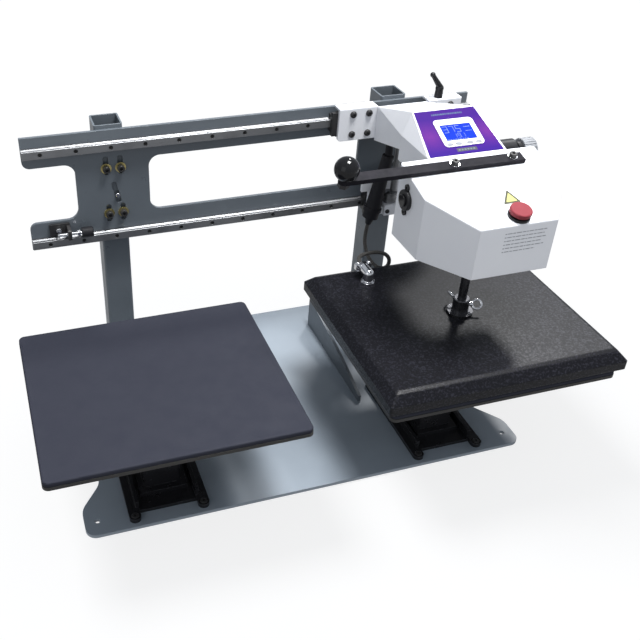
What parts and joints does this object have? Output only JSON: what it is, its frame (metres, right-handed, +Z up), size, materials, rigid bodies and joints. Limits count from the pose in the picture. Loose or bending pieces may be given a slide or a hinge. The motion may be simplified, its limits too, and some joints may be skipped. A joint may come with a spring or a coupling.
{
  "type": "heat press",
  "caption": "Twin-station sliding heat press: a heated platen head runs on rails between padded lower platens, with console, handle, stop button and lifting press shaft.",
  "frame": {"origin": "centre of the base plate's corner-hole pattern, on the base plate's underside", "axes": "+Z up, +X to the operator's right along the rails, +Y to the rear"},
  "size_m": [0.9487, 0.575, 0.5508],
  "materials": {
    "grey_paint": "satin",
    "rail_steel": "ground",
    "black_steel": "black oxide, satin",
    "zinc_yellow": "yellow zinc plate",
    "bright_steel": "polished",
    "black_rubber": "matte",
    "black_gloss_paint": "gloss",
    "black_paint": "satin",
    "silicone_pad": "matte, fine grain",
    "white_powder": "powder coat",
    "overlay_film": "satin printed film",
    "white_plastic": "satin",
    "display": "backlit window",
    "key_grey": "satin",
    "black_textured": "textured coat",
    "black_phenolic": "polished",
    "black_plastic": "satin",
    "red_plastic": "satin",
    "cord_jacket": "matte",
    "grey_plastic": "satin",
    "black_wrinkle": "wrinkle coat",
    "cast_aluminium": "cast",
    "chrome": "polished"
  },
  "bodies": {
    "frame": {"base_plate": "grey_paint", "base_ribs": "grey_paint", "post_left": "grey_paint", "post_right": "grey_paint", "rail_plate": "grey_paint", "rail_upper": "rail_steel", "rail_lower": "rail_steel", "rail_screws": "black_steel", "web_bolts": "black_steel", "web_washers": "zinc_yellow", "plate_screws": "bright_steel", "stop_bracket": "black_steel", "pedestal_rails": "black_gloss_paint", "pedestal_screws": "black_steel", "pedestal_left": "black_gloss_paint", "pedestal_right": "black_gloss_paint", "platen_plate_left": "black_paint", "platen_plate_right": "black_paint", "platen_pad_left": "silicone_pad", "platen_pad_right": "silicone_pad"},
    "stop": {"stop_rod": "bright_steel", "stop_bumper": "black_rubber"},
    "carriage": {"bearing_blocks": "black_steel", "carriage_plate": "white_powder", "carriage_screws": "black_steel", "arm_cover": "white_powder", "arm_beam": "grey_paint", "neck_box": "white_powder", "hood": "white_powder", "head_bushing": "bright_steel", "console_overlay": "overlay_film", "console_bezel": "white_plastic", "lcd_screen": "display", "handle_bar": "black_textured", "handle_washers": "bright_steel", "handle_screws": "black_steel", "ball_knob": "black_phenolic", "estop_collar": "black_plastic", "start_housing": "black_plastic", "lower_bracket": "white_powder", "link_roller": "rail_steel", "lower_link": "rail_steel", "cord_sleeve": "black_rubber", "heater_cord": "cord_jacket", "regulator_body": "black_plastic"},
    "press": {"press_shaft": "bright_steel", "shaft_collar": "rail_steel", "heat_shroud": "black_wrinkle", "heat_plate": "cast_aluminium", "elbow_body": "chrome"},
    "clamp_screw_rear": {"wing_bolt_1": "chrome"},
    "clamp_screw_side": {"wing_bolt_2": "chrome"},
    "estop": {"estop_button": "red_plastic"},
    "start": {"start_button": "black_phenolic"},
    "key_1": {"panel_button_1": "key_grey"},
    "key_2": {"panel_button_2": "key_grey"},
    "key_3": {"panel_button_3": "key_grey"},
    "key_4": {"panel_button_4": "key_grey"},
    "regulator_dial": {"regulator_knob": "grey_plastic"},
    "lock_lever": {"clamp_lever": "black_plastic"}
  },
  "joints": [
    {"name": "head_travel", "type": "slide", "parent": "frame", "child": "carriage", "axis": [-1, 0, 0], "range_m": [0, 0.529]},
    {"name": "platen_lift", "type": "slide", "parent": "carriage", "child": "press", "axis": [0, 0, 1], "range_m": [0, 0.04], "deforming": ["heater_cord"]},
    {"name": "stop_adjust", "type": "slide", "parent": "frame", "child": "stop", "axis": [1, 0, 0], "range_m": [-0.008, 0]},
    {"name": "clamp_screw_rear_turn", "type": "hinge", "parent": "press", "child": "clamp_screw_rear", "pos_m": [0.29, -0.14, 0.251], "axis": [-0.08, 0.9968, 0], "continuous": true},
    {"name": "clamp_screw_side_turn", "type": "hinge", "parent": "press", "child": "clamp_screw_side", "pos_m": [0.29, -0.14, 0.251], "axis": [0.9256, -0.3786, 0], "continuous": true},
    {"name": "estop_press", "type": "slide", "parent": "carriage", "child": "estop", "axis": [0, 0.2453, -0.9694], "range_m": [0, 0.0028], "stiffness_N_per_m": 1500},
    {"name": "start_press", "type": "slide", "parent": "carriage", "child": "start", "axis": [1, 0, 0], "range_m": [0, 0.003], "stiffness_N_per_m": 600},
    {"name": "regulator_turn", "type": "hinge", "parent": "carriage", "child": "regulator_dial", "pos_m": [0.42, -0.035, 0.475], "axis": [1, 0, 0], "range_deg": [-540, 540]},
    {"name": "lock_lever_turn", "type": "hinge", "parent": "carriage", "child": "lock_lever", "pos_m": [0.37, 0.166, 0.5], "axis": [0, 0, 1], "range_deg": [-15, 90]},
    {"name": "key_1_press", "type": "slide", "parent": "carriage", "child": "key_1", "axis": [0, 0.3859, -0.9225], "range_m": [0, 0.0006], "stiffness_N_per_m": 300},
    {"name": "key_2_press", "type": "slide", "parent": "carriage", "child": "key_2", "axis": [0, 0.3859, -0.9225], "range_m": [0, 0.0006], "stiffness_N_per_m": 300},
    {"name": "key_3_press", "type": "slide", "parent": "carriage", "child": "key_3", "axis": [0, 0.3859, -0.9225], "range_m": [0, 0.0006], "stiffness_N_per_m": 300},
    {"name": "key_4_press", "type": "slide", "parent": "carriage", "child": "key_4", "axis": [0, 0.3859, -0.9225], "range_m": [0, 0.0006], "stiffness_N_per_m": 300}
  ]
}
